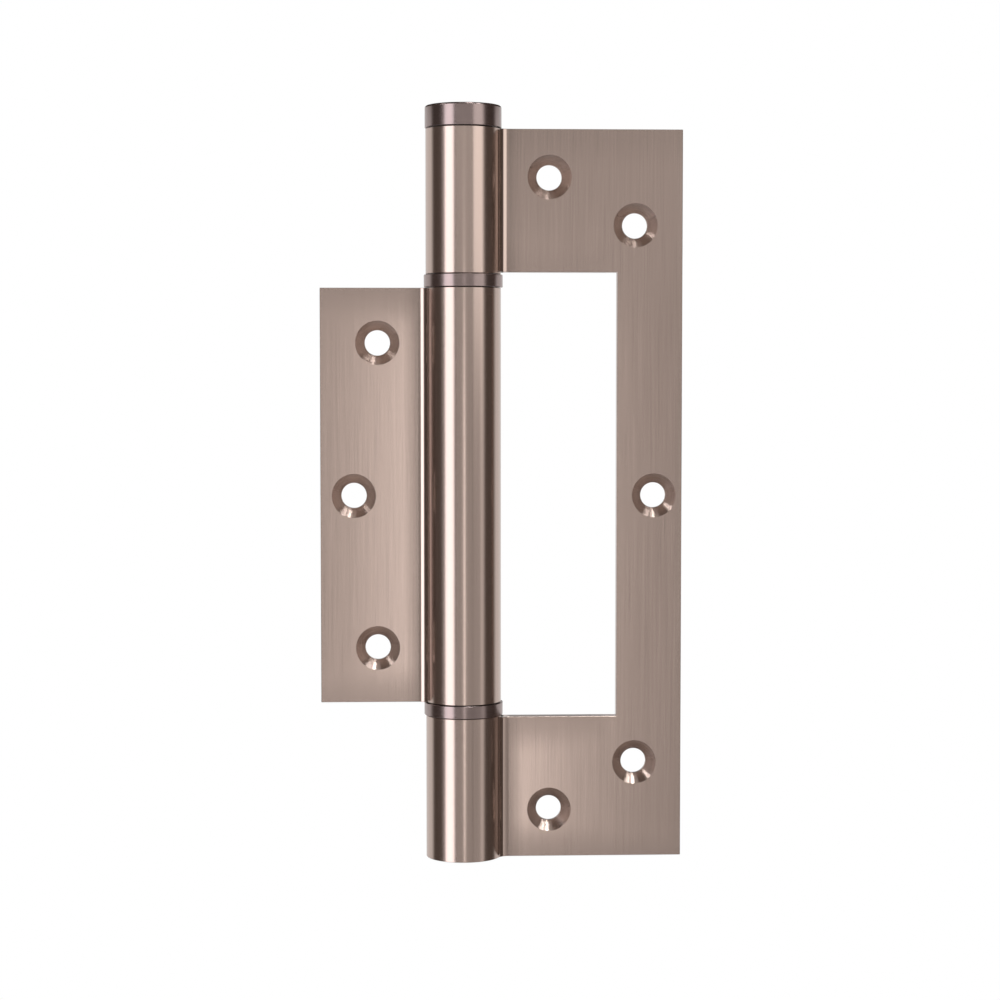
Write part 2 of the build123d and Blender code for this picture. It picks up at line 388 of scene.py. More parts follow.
def pick(piece, kind, test):
    """Selects only the vertices, edges or faces whose middle and normal pass a test."""
    bpy.ops.mesh.select_mode(type=kind)
    bpy.ops.mesh.select_all(action="DESELECT")
    form = bmesh.from_edit_mesh(piece.data)
    if kind == "VERT":
        chosen = [v for v in form.verts if test(v.co, v.normal)]
    elif kind == "EDGE":
        ends = [(e, e.verts[0].co, e.verts[1].co) for e in form.edges]
        chosen = [e for e, start, end in ends if test((start + end) / 2, end - start)]
    else:
        chosen = [f for f in form.faces if test(f.calc_center_median(), f.normal)]
    if not chosen:
        raise RuntimeError("nothing to shape was found on " + piece.name)
    for element in chosen:
        element.select_set(True)
    form.select_flush_mode()
    bmesh.update_edit_mesh(piece.data)


def move_extruded(x=0.0, y=0.0, z=0.0):
    """Extrudes what is selected and moves it."""
    bpy.ops.mesh.extrude_region_move(TRANSFORM_OT_translate={"value": (x, y, z)})


def spin_about(centre_x, centre_y, angle, steps):
    """Draws an arc from the selected vertex, anticlockwise from above for a positive angle."""
    bpy.ops.mesh.spin(steps=steps, angle=-angle, center=(centre_x, centre_y, 0), axis=(0, 0, 1))


def apply_modifier(piece, kind, **values):
    """Adds a modifier with the given values and applies it."""
    activate(piece)
    bpy.ops.object.modifier_add(type=kind)
    modifier = piece.modifiers[-1]
    for key, value in values.items():
        setattr(modifier, key, value)
    bpy.ops.object.modifier_apply(modifier=modifier.name)


def cut(piece, cutter):
    """Takes one closed shape out of another and deletes the cutter."""
    apply_modifier(
        piece,
        "BOOLEAN",
        operation="DIFFERENCE",
        object=cutter,
        solver="EXACT",
        material_mode="TRANSFER",
    )
    activate(cutter)
    bpy.ops.object.delete()


def merge_doubles():
    """Merges vertices that lie in the same place."""
    bpy.ops.mesh.select_all(action="SELECT")
    bpy.ops.mesh.remove_doubles(threshold=NEAR / 2)


def turn_outwards():
    """Merges doubled vertices and turns every face outwards."""
    merge_doubles()
    bpy.ops.mesh.normals_make_consistent(inside=False)


def break_edges(piece):
    """Cuts a small chamfer on every sharp edge."""
    apply_modifier(
        piece,
        "BEVEL",
        width=sizes().edge_break,
        segments=1,
        limit_method="ANGLE",
        angle_limit=SHARP_ANGLE,
        use_clamp_overlap=False,
    )


def place_on_hinge(piece, body, node):
    """Cleans and smooths a finished piece and puts it in place of its construction node."""
    activate(piece)
    bpy.ops.object.mode_set(mode="EDIT")
    turn_outwards()
    activate(piece)
    bpy.ops.object.shade_smooth_by_angle(angle=SMOOTH_ANGLE)
    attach(piece, body)
    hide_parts(node)


def give(piece, *materials):
    """Replaces a piece's materials."""
    piece.data.materials.clear()
    for material in materials:
        piece.data.materials.append(material)


def draw_section(name, side, low, stops):
    """Draws a knuckle's ring and its leaf's section at height low; the object stays in edit mode.

    stops are distances from the pin axis along the leaf, the last one its outer edge.
    """
    s = sizes()
    half = leaf_thickness / 2
    root_x = sqrt((knuckle_radius + s.root_radius) ** 2 - (half + s.root_radius) ** 2)
    lean = atan2(half + s.root_radius, root_x)
    start_x = pin_x + side * knuckle_radius * cos(lean)
    start_y = pin_y - knuckle_radius * sin(lean)

    # Ring, from a single vertex where the front root meets the barrel
    bpy.ops.mesh.primitive_plane_add(size=MM, location=(start_x, start_y, 0))
    piece = settle(name)
    bpy.ops.object.mode_set(mode="EDIT")
    bpy.ops.mesh.select_mode(type="VERT")
    bpy.ops.mesh.select_all(action="SELECT")
    bpy.ops.mesh.merge(type="CENTER")
    inner_steps = max(4, round(s.round_steps * lean / pi))
    spin_about(pin_x, pin_y, -side * (2 * pi - 2 * lean), s.round_steps - inner_steps)
    spin_about(pin_x, pin_y, -side * 2 * lean, inner_steps)
    merge_doubles()
    bpy.ops.mesh.select_all(action="SELECT")
    bpy.ops.mesh.edge_face_add()
    bpy.ops.mesh.select_mode(type="FACE")
    bpy.ops.mesh.inset(thickness=knuckle_radius - s.bore_radius, depth=0)
    bpy.ops.mesh.delete(type="ONLY_FACE")

    # Outline of the front root, the leaf and the back root
    start = Vector((start_x, start_y, 0))
    pick(piece, "VERT", lambda co, n: (co - start).length < NEAR)
    root_turn = pi / 2 - lean
    spin_about(pin_x + side * root_x, pin_y - half - s.root_radius, -side * root_turn, ROOT_STEPS)
    places = [root_x] + stops
    for a, b in zip(places, places[1:]):
        move_extruded(x=side * (b - a))
    move_extruded(y=leaf_thickness)
    for a, b in zip(places[::-1], places[-2::-1]):
        move_extruded(x=side * (b - a))
    spin_about(pin_x + side * root_x, pin_y + half + s.root_radius, -side * root_turn, ROOT_STEPS)
    merge_doubles()

    # Lines across the leaf at the stops, and the faces between them
    reaches = [0.0] + stops
    for stop in stops[:-1]:
        pick(piece, "VERT", lambda co, n: abs(side * (co.x - pin_x) - stop) < NEAR)
        bpy.ops.mesh.edge_face_add()
    for near, far in zip(reaches, reaches[1:]):
        pick(piece, "VERT", lambda co, n: in_leaf_cell(co, side, near, far, lean))
        bpy.ops.mesh.edge_face_add()

    bpy.ops.mesh.select_all(action="SELECT")
    bpy.ops.transform.translate(value=(0, 0, low))
    return piece


def radius_at(co):
    """Distance of a place on a mesh from the pin axis."""
    return hypot(co.x - pin_x, co.y - pin_y)


def in_leaf_cell(co, side, near, far, lean):
    """True for the section's vertices that bound the stretch of leaf between two stops."""
    x = side * (co.x - pin_x)
    radius = radius_at(co)
    if radius < knuckle_radius - NEAR or x < near - NEAR or x > far + NEAR:
        return False
    if radius < knuckle_radius + NEAR:
        return x > 0 and abs(atan2(co.y - pin_y, x)) < lean + ANGLE_SLACK
    return True


def screw_hole_cutter(x, z):
    """Countersunk hole: a cone open at the leaf's front face, and a straight shank behind it."""
    s = sizes()
    depth = s.countersink_radius - s.hole_radius
    leave_edit_mode()
    bpy.ops.mesh.primitive_cone_add(
        vertices=SCREW_HOLE_STEPS,
        radius1=s.hole_radius,
        radius2=s.countersink_radius + CUT_OVERRUN,
        depth=depth + CUT_OVERRUN,
        location=(x, front_y + (depth - CUT_OVERRUN) / 2, z),
        rotation=(pi / 2, 0, 0),
    )
    cutter = settle("screw_hole_cutter")
    give(cutter, bpy.data.materials["countersink_metal"])
    bpy.ops.object.mode_set(mode="EDIT")
    pick(cutter, "FACE", lambda co, n: n.y > FACING)
    move_extruded(y=leaf_thickness)
    leave_edit_mode()
    return cutter


def back_hole_cutter(screw, radius):
    """Round hole for a grub screw, from outside the barrel's back into its bore."""
    low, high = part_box(screw)
    outside = pin_y + knuckle_radius + 2 * CUT_OVERRUN
    inside = pin_y + sizes().bore_radius - sizes().grub_hole_reach
    leave_edit_mode()
    bpy.ops.mesh.primitive_cylinder_add(
        vertices=GRUB_HOLE_STEPS,
        radius=radius,
        depth=outside - inside,
        location=(pin_x, (outside + inside) / 2, (low[2] + high[2]) / 2),
        rotation=(pi / 2, 0, 0),
    )
    cutter = settle("back_hole_cutter")
    give(cutter, bpy.data.materials["countersink_metal"])
    return cutter


def new_material(name):
    """Makes a material and returns it with its node tree and its shader."""
    material = bpy.data.materials.new(name)
    material.use_nodes = True
    tree = material.node_tree
    return material, tree, tree.nodes["Principled BSDF"]


def math_node(tree, operation, first, second):
    """Result of a sum or product of two sockets or numbers."""
    node = tree.nodes.new("ShaderNodeMath")
    node.operation = operation
    for socket, value in zip(node.inputs, (first, second)):
        if isinstance(value, (int, float)):
            socket.default_value = value
        else:
            tree.links.new(value, socket)
    return node.outputs[0]


def times(tree, first, second):
    """Product of two sockets or numbers."""
    return math_node(tree, "MULTIPLY", first, second)


def streaks(tree, scale, detail):
    """Noise stretched along the brushing, read from Object coordinates."""
    coords = tree.nodes.new("ShaderNodeTexCoord")
    mapping = tree.nodes.new("ShaderNodeMapping")
    mapping.inputs["Scale"].default_value = scale
    noise = tree.nodes.new("ShaderNodeTexNoise")
    noise.inputs["Scale"].default_value = 1.0
    noise.inputs["Detail"].default_value = detail
    noise.inputs["Roughness"].default_value = 0.6
    tree.links.new(coords.outputs["Object"], mapping.inputs["Vector"])
    tree.links.new(mapping.outputs["Vector"], noise.inputs["Vector"])
    return noise.outputs["Fac"]


def span(tree, value, from_low, from_high, to_low, to_high):
    """Stretches one range of values to another and stops at its ends."""
    node = tree.nodes.new("ShaderNodeMapRange")
    tree.links.new(value, node.inputs["Value"])
    node.inputs["From Min"].default_value = from_low
    node.inputs["From Max"].default_value = from_high
    node.inputs["To Min"].default_value = to_low
    node.inputs["To Max"].default_value = to_high
    return node.outputs["Result"]


def varied(tree, noise, low, high):
    """Spreads a noise between two values."""
    return span(tree, noise, *SEEN_NOISE, low, high)


def tinted(tree, colour, factor):
    """Colour made a little darker or lighter by a factor around one."""
    node = tree.nodes.new("ShaderNodeMix")
    node.data_type = "RGBA"
    node.blend_type = "MULTIPLY"
    node.inputs[0].default_value = 1.0
    node.inputs[6].default_value = (*colour, 1.0)
    tree.links.new(factor, node.inputs[7])
    return node.outputs[2]


def from_pin_axis(tree):
    """Distance of the shaded point from the pin axis."""
    coords = tree.nodes.new("ShaderNodeTexCoord")
    shift = tree.nodes.new("ShaderNodeVectorMath")
    shift.operation = "SUBTRACT"
    shift.inputs[1].default_value = (pin_x, pin_y, 0)
    flat = tree.nodes.new("ShaderNodeVectorMath")
    flat.operation = "MULTIPLY"
    flat.inputs[1].default_value = (1, 1, 0)
    length = tree.nodes.new("ShaderNodeVectorMath")
    length.operation = "LENGTH"
    tree.links.new(coords.outputs["Object"], shift.inputs[0])
    tree.links.new(shift.outputs[0], flat.inputs[0])
    tree.links.new(flat.outputs[0], length.inputs[0])
    return length.outputs["Value"]


def upright_tangent(tree, shader):
    """Spreads the brushed gloss sideways, across upright brush lines."""
    upright = tree.nodes.new("ShaderNodeCombineXYZ")
    upright.inputs["Z"].default_value = 1.0
    tree.links.new(upright.outputs[0], shader.inputs["Tangent"])
    shader.inputs["Anisotropic Rotation"].default_value = QUARTER_TURN


def turned_tangent(tree, shader):
    """Spreads the gloss down a countersink's slope, across its turning marks."""
    coords = tree.nodes.new("ShaderNodeTexCoord")
    across = tree.nodes.new("ShaderNodeVectorMath")
    across.operation = "CROSS_PRODUCT"
    across.inputs[1].default_value = (0, 1, 0)
    tree.links.new(coords.outputs["Normal"], across.inputs[0])
    turned = tree.nodes.new("ShaderNodeVectorTransform")
    turned.vector_type = "VECTOR"
    turned.convert_from = "OBJECT"
    turned.convert_to = "WORLD"
    tree.links.new(across.outputs[0], turned.inputs[0])
    tree.links.new(turned.outputs[0], shader.inputs["Tangent"])
    shader.inputs["Anisotropic Rotation"].default_value = QUARTER_TURN


def ramp(tree, value, low, high):
    """Smooth step from 0 at low to 1 at high."""
    node = tree.nodes.new("ShaderNodeMapRange")
    node.interpolation_type = "SMOOTHSTEP"
    tree.links.new(value, node.inputs["Value"])
    node.inputs["From Min"].default_value = low
    node.inputs["From Max"].default_value = high
    return node.outputs["Result"]


def add_bump(tree, shader, height, strength=1.0, depth=BUMP_DEPTH):
    """Adds shallow bump to a shader and returns the socket of its strength."""
    bump = tree.nodes.new("ShaderNodeBump")
    bump.inputs["Distance"].default_value = depth
    bump.inputs["Strength"].default_value = strength
    tree.links.new(height, bump.inputs["Height"])
    tree.links.new(bump.outputs["Normal"], shader.inputs["Normal"])
    return bump.inputs["Strength"]


def buffing_and_shade_zones(tree, half_height, window_half):
    """How well a leaf is buffed away from its ends and window, and away from its knuckle; the same
    masks also place the painted shade along the ends and beside the knuckle.
    """
    coords = tree.nodes.new("ShaderNodeTexCoord")
    split = tree.nodes.new("ShaderNodeSeparateXYZ")
    tree.links.new(coords.outputs["Object"], split.inputs[0])
    width = finish_values().end_width
    side_x = frame_high[0] - sizes().strip_width - SIDE_LEAD
    height = tree.nodes.new("ShaderNodeMath")
    height.operation = "ABSOLUTE"
    tree.links.new(split.outputs["Z"], height.inputs[0])
    ends = ramp(tree, height.outputs[0], half_height, half_height - width)
    if window_half:
        past_window = ramp(tree, height.outputs[0], window_half, window_half + width)
        beside_window = ramp(tree, split.outputs["X"], side_x, side_x + width)
        clear_of_window = math_node(tree, "MAXIMUM", past_window, beside_window)
        ends = times(tree, ends, clear_of_window)
    from_axis = from_pin_axis(tree)
    start, end = BUFFING_AND_SHADE_ZONE
    root = span(tree, from_axis, knuckle_radius + start, knuckle_radius + end, 0, 1)
    return ends, root


def make_leaf_metal(name, half_height, window_half):
    """Brushed flats with upright lines, buffed in the middle, and a smoother barrel; painted shade
    darkens the flats along their ends, window and root.
    """
    f = finish_values()
    material, tree, shader = new_material(name)
    shader.inputs["Metallic"].default_value = 1.0
    upright_tangent(tree, shader)
    from_axis = from_pin_axis(tree)
    start, end = FLAT_ZONE
    on_flat = span(tree, from_axis, knuckle_radius + start, knuckle_radius + end, 0, 1)
    tree.links.new(times(tree, on_flat, FLAT_ANISOTROPY), shader.inputs["Anisotropic"])

    fine = times(tree, streaks(tree, FINE_BRUSHING, 3), FINE_SHARE)
    broad = times(tree, streaks(tree, BROAD_BRUSHING, 2), 1 - FINE_SHARE)
    line = math_node(tree, "ADD", fine, broad)
    hair = streaks(tree, HAIRLINES, 1)
    dark_hair = times(tree, ramp(tree, hair, *DARK_HAIR), on_flat)
    pale_hair = times(tree, ramp(tree, hair, *PALE_HAIR), on_flat)
    cloud = streaks(tree, CLOUDS, 2)

    ends, root = buffing_and_shade_zones(tree, half_height, window_half)
    zone = times(tree, ends, root)
    flat_rough = span(tree, zone, 0, 1, f.leaf_edge_roughness, f.leaf_roughness)
    round_rough = span(
        tree,
        from_axis,
        knuckle_radius,
        knuckle_radius + STEP_WIDTH,
        f.barrel_roughness,
        f.root_roughness,
    )
    mixed = tree.nodes.new("ShaderNodeMix")
    tree.links.new(on_flat, mixed.inputs[0])
    tree.links.new(round_rough, mixed.inputs[2])
    tree.links.new(flat_rough, mixed.inputs[3])
    rough = times(tree, mixed.outputs[0], varied(tree, line, *LINE_GLOSS))
    tree.links.new(rough, shader.inputs["Roughness"])

    # Painted shade: the leaves' colour darkens along their ends and window, where the reflections
    # fade
    shade_mask_ends = times(tree, on_flat, math_node(tree, "SUBTRACT", 1.0, ends))
    # Painted shade: the leaves' colour darkens beside the barrel, between leaf and knuckle
    shade_mask_root = times(tree, on_flat, math_node(tree, "SUBTRACT", 1.0, root))
    dark_tone, pale_tone = HAIR_TONES
    tone = varied(tree, line, *LINE_TONE)
    tone = times(tree, tone, varied(tree, cloud, *CLOUD_TONE))
    for place, factor in (
        (dark_hair, dark_tone),
        (pale_hair, pale_tone),
        (on_flat, f.flat_tone),
        (shade_mask_ends, f.painted_end_shade),
        (shade_mask_root, f.painted_root_shade),
    ):
        tone = times(tree, tone, span(tree, place, 0, 1, 1.0, factor))
    tree.links.new(tinted(tree, f.leaf_colour, tone), shader.inputs["Base Color"])

    strength = add_bump(tree, shader, line)
    tree.links.new(span(tree, on_flat, 0, 1, ROUND_BUMP, FLAT_BUMP), strength)
    return material


def make_collar_metal():
    """Turned cap and rings, a little darker and cooler than the leaves."""
    f = finish_values()
    material, tree, shader = new_material("collar_metal")
    shader.inputs["Metallic"].default_value = 1.0
    turned = streaks(tree, TURNING, 3)
    radial = tree.nodes.new("ShaderNodeTexNoise")
    radial.noise_dimensions = "1D"
    radial.inputs["Scale"].default_value = FACE_TURNING
    tree.links.new(from_pin_axis(tree), radial.inputs["W"])
    both = times(tree, math_node(tree, "ADD", turned, radial.outputs["Fac"]), 0.5)
    smooth = f.barrel_roughness
    rough = span(tree, both, *SEEN_TURNING, smooth, smooth + COLLAR_ROUGHER)
    tree.links.new(rough, shader.inputs["Roughness"])
    tone = span(tree, both, *SEEN_TURNING, *COLLAR_TONE)
    tree.links.new(tinted(tree, f.collar_colour, tone), shader.inputs["Base Color"])
    add_bump(tree, shader, both, COLLAR_BUMP)
    return material


def make_countersink_metal():
    """Cut countersinks and holes, with turning marks at equal depth."""
    f = finish_values()
    material, tree, shader = new_material("countersink_metal")
    shader.inputs["Metallic"].default_value = 1.0
    shader.inputs["Anisotropic"].default_value = COUNTERSINK_ANISOTROPY
    turned_tangent(tree, shader)
    marks = streaks(tree, COUNTERSINKING, 2)
    tree.links.new(varied(tree, marks, *COUNTERSINK_ROUGHNESS), shader.inputs["Roughness"])
    colour = tuple(COUNTERSINK_SHADE * c for c in f.leaf_colour)
    tone = varied(tree, marks, *MARK_TONE)
    tree.links.new(tinted(tree, colour, tone), shader.inputs["Base Color"])
    add_bump(tree, shader, marks, COUNTERSINK_BUMP)
    return material


def make_inner_material(name, colour, metallic, roughness, scale):
    """Plain inner finish with fine marks: bronze, steel or plastic."""
    material, tree, shader = new_material(name)
    shader.inputs["Metallic"].default_value = metallic
    marks = streaks(tree, scale, 3)
    rough = varied(tree, marks, roughness - INNER_ROUGHER, roughness + INNER_ROUGHER)
    tree.links.new(rough, shader.inputs["Roughness"])
    tone = varied(tree, marks, *MARK_TONE)
    tree.links.new(tinted(tree, colour, tone), shader.inputs["Base Color"])
    add_bump(tree, shader, marks, INNER_BUMP, INNER_BUMP_DEPTH)
    return material


# By material slot: name, colour, metallic, roughness, noise scale
INNER_FINISHES = {
    "bush": ("bronze_bush", (0.55, 0.36, 0.16), 1.0, 0.35, (80, 80, 6000)),
    "liner": ("acetal_liner", (0.02, 0.02, 0.022), 0.0, 0.5, (300, 300, 300)),
    "spindle": ("turned_steel", (0.5, 0.5, 0.51), 1.0, 0.3, (60, 60, 7000)),
    "spring": ("spring_steel", (0.2, 0.2, 0.21), 1.0, 0.38, (500, 500, 500)),
    "screw": ("black_screw", (0.05, 0.05, 0.055), 1.0, 0.42, (900, 900, 900)),
}


class HINGE_OT_materials(bpy.types.Operator):
    """Makes the hinge's materials and gives the inner pieces theirs."""

    bl_idname = "hinge.materials"
    bl_label = "Make Materials"

    def execute(self, context):
        make_leaf_metal("frame_leaf_metal", frame_high[2], frame_high[2] - sizes().cheek_height)
        make_leaf_metal("door_leaf_metal", door_high[2], 0)
        make_collar_metal()
        make_countersink_metal()
        inner = {slot: make_inner_material(*values) for slot, values in INNER_FINISHES.items()}
        for part in frame["record"]["subparts"]:
            if part["material_slot"] in inner:
                give(frame["nodes"][part["node"]], inner[part["material_slot"]])
        return {"FINISHED"}


class HINGE_OT_frame_leaf(bpy.types.Operator):
    """Models the C-shaped frame leaf with its two knuckles."""

    bl_idname = "hinge.frame_leaf"
    bl_label = "Frame Leaf"

    def execute(self, context):
        s = sizes()
        window_reach = frame_reach - s.strip_width
        window_top = frame_high[2] - s.cheek_height
        shoulder = knuckle_radius + s.root_radius + ROOT_CLEARANCE
        leave_edit_mode()
        stops = [shoulder, window_reach, frame_reach]
        piece = draw_section("frame_leaf_finish", 1, frame_low[2], stops)
        bpy.ops.mesh.select_all(action="SELECT")
        move_extruded(z=s.cheek_height)
        cheek_z = frame_low[2] + s.cheek_height

        def on_cheek(co):
            return abs(co.z - cheek_z) < NEAR

        pick(piece, "FACE", lambda co, n: on_cheek(co) and radius_at(co) < knuckle_radius)
        move_extruded(z=s.window_relief)
        pick(piece, "FACE", lambda co, n: on_cheek(co) and co.x > pin_x + window_reach)
        move_extruded(z=window_top)
        bpy.ops.mesh.delete(type="ONLY_FACE")
        apply_modifier(piece, "MIRROR", use_axis=(False, False, True), merge_threshold=NEAR)
        bpy.ops.object.mode_set(mode="EDIT")
        turn_outwards()
        break_edges(piece)
        give(piece, bpy.data.materials["frame_leaf_metal"])
        for screw in ("arbor_lock_screw", "pivot_screw"):
            cut(piece, back_hole_cutter(screw, s.grub_radius))
        end_z = frame_high[2] - s.frame_end_margin
        side_z = frame_high[2] - s.frame_side_drop
        holes = (
            (pin_x + s.near_screws, end_z),
            (pin_x + s.near_screws, -end_z),
            (frame_high[0] - s.frame_side_margin, side_z),
            (frame_high[0] - s.frame_side_margin, -side_z),
            (frame_high[0] - s.frame_centre_margin, 0),
        )
        for x, z in holes:
            cut(piece, screw_hole_cutter(x, z))
        place_on_hinge(piece, "frame", "frame_leaf")
        return {"FINISHED"}


class HINGE_OT_door_leaf(bpy.types.Operator):
    """Models the short door leaf with its long middle knuckle."""

    bl_idname = "hinge.door_leaf"
    bl_label = "Door Leaf"

    def execute(self, context):
        s = sizes()
        shoulder = knuckle_radius + s.root_radius + ROOT_CLEARANCE
        leave_edit_mode()
        piece = draw_section("door_leaf_finish", -1, door_low[2], [shoulder, door_reach])
        bpy.ops.mesh.select_all(action="SELECT")
        move_extruded(z=door_high[2] - door_low[2])
        turn_outwards()
        break_edges(piece)
        give(piece, bpy.data.materials["door_leaf_metal"])
        screw_z = door_high[2] - s.door_end_margin
        holes = (
            (pin_x - s.near_screws, screw_z),
            (pin_x - s.near_screws, -screw_z),
            (door_low[0] + s.door_centre_margin, 0),
        )
        for x, z in holes:
            cut(piece, screw_hole_cutter(x, z))
        cut(piece, back_hole_cutter("anchor_screw", s.grub_radius))
        place_on_hinge(piece, "door", "door_leaf")
        return {"FINISHED"}


def turned_ring(name, outer, inner, low, high):
    """Models a ring around the pin axis from a cylinder whose ends are inset and bridged."""
    s = sizes()
    leave_edit_mode()
    bpy.ops.mesh.primitive_cylinder_add(
        vertices=s.round_steps,
        radius=outer,
        depth=high - low,
        location=(pin_x, pin_y, (low + high) / 2),
    )
    piece = settle(name)
    bpy.ops.object.mode_set(mode="EDIT")
    pick(piece, "FACE", lambda co, n: abs(n.z) > FACING)
    bpy.ops.mesh.inset(thickness=outer - inner, depth=0)
    bpy.ops.mesh.bridge_edge_loops()
    turn_outwards()
    leave_edit_mode()
    return piece


class HINGE_OT_rings(bpy.types.Operator):
    """Models the two collar rings between the knuckles."""

    bl_idname = "hinge.rings"
    bl_label = "Collar Rings"

    def execute(self, context):
        s = sizes()
        for node in ("upper_ring", "lower_ring"):
            low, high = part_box(node)
            outer = (high[0] - low[0]) / 2
            piece = turned_ring(node + "_finish", outer, s.bore_radius, low[2], high[2])
            break_edges(piece)
            give(piece, bpy.data.materials["collar_metal"])
            place_on_hinge(piece, "frame", node)
        return {"FINISHED"}


class HINGE_OT_cap(bpy.types.Operator):
    """Models the tension cap with its rounded rim."""

    bl_idname = "hinge.cap"
    bl_label = "Tension Cap"

    def execute(self, context):
        s = sizes()
        piece = turned_ring(
            "tension_cap_finish", cap_radius, s.arbor_radius, cap_low[2], cap_high[2]
        )
        bpy.ops.object.mode_set(mode="EDIT")
        top = cap_high[2] - NEAR
        rim = cap_radius * cos(pi / s.round_steps) - NEAR
        pick(piece, "EDGE", lambda co, n: co.z > top and radius_at(co) > rim)
        bpy.ops.mesh.bevel(offset=s.cap_rounding, segments=CAP_ROUNDING_STEPS)
        break_edges(piece)
        give(piece, bpy.data.materials["collar_metal"])
        cut(piece, back_hole_cutter("cap_screw", s.cap_grub_radius))
        place_on_hinge(piece, "tensioner", "tension_cap")
        return {"FINISHED"}


# Name, degrees to the right of the camera's side, distance, width and height, height of the
# middle, radiance, colour
SOFTBOXES = (
    ("left_softbox", -44.5, 1.0, (0.52, 1.5), 0.05, 2.3, (0.96, 0.95, 1.0)),
    ("left_outer_softbox", -64, 1.0, (0.17, 1.5), 0.05, 0.25, (0.96, 0.95, 1.0)),
    ("right_softbox", 45, 1.0, (0.57, 0.6), 0.36, 1.0, (1.0, 0.97, 0.95)),
    ("right_low_softbox", 57, 1.0, (0.16, 1.0), -0.42, 0.35, (1.0, 0.97, 0.95)),
    ("right_panel", 47, 1.6, (1.15, 2.4), 0.0, 0.38, (1.0, 0.98, 0.97)),
    ("front_panel", 1, 1.6, (1.5, 2.4), 0.0, 0.365, (1.0, 0.98, 0.97)),
    ("front_top_panel", 1, 1.55, (1.4, 0.8), 0.5, 0.13, (1.0, 0.98, 0.97)),
    ("front_strip", 1.5, 1.4, (0.11, 0.5), -0.16, 1.75, (1.0, 0.97, 0.95)),
)

# Parts of the view's direction at which the sweep behind the hinge fades: towards Y, towards Z
SWEEP_SIDES = (0.24, 0.44)
SWEEP_TOP = (0.165, 0.2)
FLOOR_SIZE = 3.0
FLOOR_HEIGHT = -0.6
OVERHEAD_LENGTH = 2.6           # length of an overhead light as a multiple of its width

# Name, place, width, radiance: small lights that glint in the countersinks
OVERHEADS = (
    ("left_overhead", (-0.74, -0.22, 0.62), 0.08, 8.0),
    ("right_overhead", (0.5, -0.24, 0.84), 0.12, 8.0),
    ("top_overhead", (0.21, -0.26, 0.94), 0.12, 11.0),
    ("wide_overhead", (0.0, -0.3, 1.2), 0.42, 0.4),
)


class HINGE_OT_stage(bpy.types.Operator):
    """Sets up the floor, the soft studio light and the camera."""

    bl_idname = "hinge.stage"
    bl_label = "Stage"

    def execute(self, context):
        st = context.scene.hinge_studio
        make_floor()
        for light in SOFTBOXES:
            make_softbox(*light)
        for light in OVERHEADS:
            make_overhead(*light)
        camera_data = bpy.data.cameras.new("photo_camera")
        camera_data.sensor_width = 36
        camera_data.lens = st.lens
        camera_data.clip_start = 0.01
        camera = bpy.data.objects.new("photo_camera", camera_data)
        camera.location = st.eye
        camera.rotation_euler = (pi / 2 - st.pitch, 0, -st.yaw)
        context.scene.collection.objects.link(camera)
        context.scene.camera = camera
        context.scene.view_settings.view_transform = "Standard"
        make_world(st.world_level, st.sweep_level)
        return {"FINISHED"}


def mix_shaders(tree, factor, first, second):
    """Mix of two shaders, all of the second one where the factor is 1."""
    mix = tree.nodes.new("ShaderNodeMixShader")
    for socket, value in zip(mix.inputs, (factor, first, second)):
        tree.links.new(value, socket)
    return mix.outputs[0]


def white_to_camera(tree, kind, lit_shader, surface):
    """Shows plain white to the camera, and the lit shader in reflections and elsewhere."""
    white = tree.nodes.new(kind)
    white.inputs["Color"].default_value = (1, 1, 1, 1)
    path = tree.nodes.new("ShaderNodeLightPath")
    camera_ray = path.outputs["Is Camera Ray"]
    seen = math_node(tree, "MAXIMUM", camera_ray, path.outputs["Is Transmission Ray"])
    tree.links.new(mix_shaders(tree, seen, lit_shader, white.outputs[0]), surface)


def make_floor():
    """Pale floor, below the hinge, which hangs by its frame leaf."""
    leave_edit_mode()
    bpy.ops.mesh.primitive_plane_add(size=FLOOR_SIZE, location=(0, 0, FLOOR_HEIGHT))
    floor = settle("floor")
    material, tree, shader = new_material("pale_floor")
    shader.inputs["Base Color"].default_value = (0.8, 0.8, 0.8, 1)
    shader.inputs["Roughness"].default_value = 0.8
    surface = tree.nodes["Material Output"].inputs["Surface"]
    white_to_camera(tree, "ShaderNodeEmission", shader.outputs[0], surface)
    give(floor, material)


def make_area_light(name, width, length, radiance):
    """Rectangular light that looks equally bright at any size."""
    light = bpy.data.lights.new(name, "AREA")
    light.shape = "RECTANGLE"
    light.size = width
    light.size_y = length
    light.energy = radiance * pi * width * length
    lamp = bpy.data.objects.new(name, light)
    bpy.context.scene.collection.objects.link(lamp)
    return lamp


def make_softbox(name, azimuth, distance, size, height, radiance, tint):
    """Area light aimed at the barrel, azimuth degrees to the right of the camera's side."""
    lamp = make_area_light(name, *size, radiance)
    lamp.data.color = tint
    turn = radians(azimuth)
    lamp.location = (pin_x + distance * sin(turn), pin_y - distance * cos(turn), height)
    lamp.rotation_euler = (pi / 2, 0, turn)


def make_overhead(name, place, width, radiance):
    """Small area light above the hinge that looks down at it and glints in the countersinks."""
    lamp = make_area_light(name, width, OVERHEAD_LENGTH * width, radiance)
    lamp.location = place
    lamp.rotation_euler = (-Vector(place)).to_track_quat("-Z", "Y").to_euler()


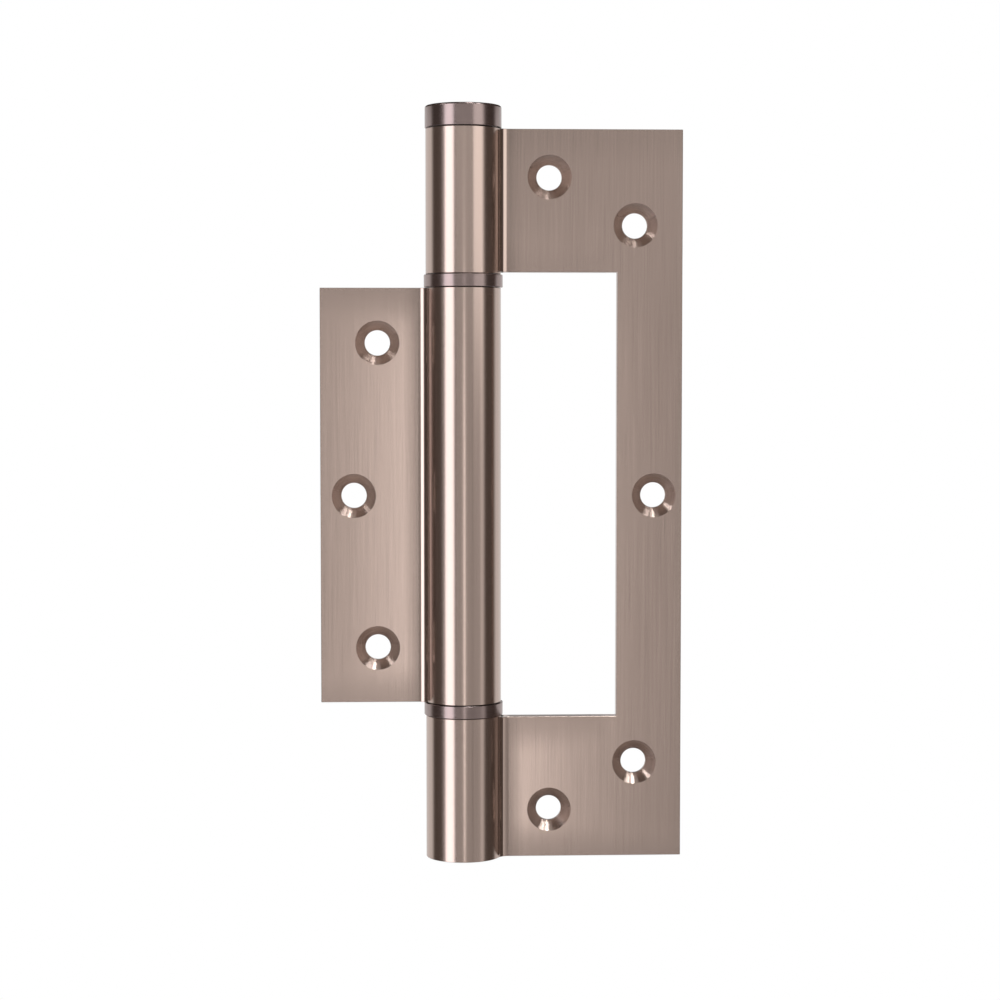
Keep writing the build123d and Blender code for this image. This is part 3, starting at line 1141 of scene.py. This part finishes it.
def make_world(dim_level, sweep_level):
    """Dim studio, a pale sweep low behind the hinge, and white where the camera looks past it."""
    world = bpy.data.worlds.new("studio")
    bpy.context.scene.world = world
    world.use_nodes = True
    tree = world.node_tree
    coords = tree.nodes.new("ShaderNodeTexCoord")
    split = tree.nodes.new("ShaderNodeSeparateXYZ")
    tree.links.new(coords.outputs["Generated"], split.inputs[0])
    behind = span(tree, split.outputs["Y"], *SWEEP_SIDES, 0, 1)
    behind = times(tree, behind, span(tree, split.outputs["Z"], *SWEEP_TOP, 1, 0))
    dim = tree.nodes["Background"]
    dim.inputs["Color"].default_value = (1.0, 0.8, 0.7, 1)
    dim.inputs["Strength"].default_value = dim_level
    sweep = tree.nodes.new("ShaderNodeBackground")
    sweep.inputs["Color"].default_value = (1.0, 0.98, 0.97, 1)
    sweep.inputs["Strength"].default_value = sweep_level
    around = mix_shaders(tree, behind, dim.outputs[0], sweep.outputs[0])
    surface = tree.nodes["World Output"].inputs["Surface"]
    white_to_camera(tree, "ShaderNodeBackground", around, surface)


class HINGE_PT_panel(bpy.types.Panel):
    """Lists the hinge's operators and values."""

    bl_idname = "HINGE_PT_panel"
    bl_label = "Spring Hinge"
    bl_space_type = "VIEW_3D"
    bl_region_type = "UI"
    bl_category = "Hinge"

    def draw(self, context):
        layout = self.layout
        for operator in OPERATORS:
            layout.operator(operator.bl_idname)
        scene = context.scene
        for group in (scene.hinge_sizes, scene.hinge_finish, scene.hinge_studio):
            for key in group.__annotations__:
                layout.prop(group, key)


GROUPS = (HingeSizes, HingeFinish, HingeStudio)
OPERATORS = (
    HINGE_OT_materials,
    HINGE_OT_frame_leaf,
    HINGE_OT_door_leaf,
    HINGE_OT_rings,
    HINGE_OT_cap,
    HINGE_OT_stage,
)


def register():
    """Adds the hinge's values, operators and panel."""
    for cls in GROUPS + OPERATORS + (HINGE_PT_panel,):
        bpy.utils.register_class(cls)
    bpy.types.Scene.hinge_sizes = PointerProperty(type=HingeSizes)
    bpy.types.Scene.hinge_finish = PointerProperty(type=HingeFinish)
    bpy.types.Scene.hinge_studio = PointerProperty(type=HingeStudio)


def unregister():
    """Takes them out again."""
    del bpy.types.Scene.hinge_studio
    del bpy.types.Scene.hinge_finish
    del bpy.types.Scene.hinge_sizes
    for cls in (HINGE_PT_panel,) + OPERATORS[::-1] + GROUPS[::-1]:
        bpy.utils.unregister_class(cls)


def main():
    """Models the whole hinge."""
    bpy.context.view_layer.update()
    register()
    bpy.ops.hinge.materials()
    bpy.ops.hinge.frame_leaf()
    bpy.ops.hinge.door_leaf()
    bpy.ops.hinge.rings()
    bpy.ops.hinge.cap()
    bpy.ops.hinge.stage()


if __name__ == "__main__":
    main()
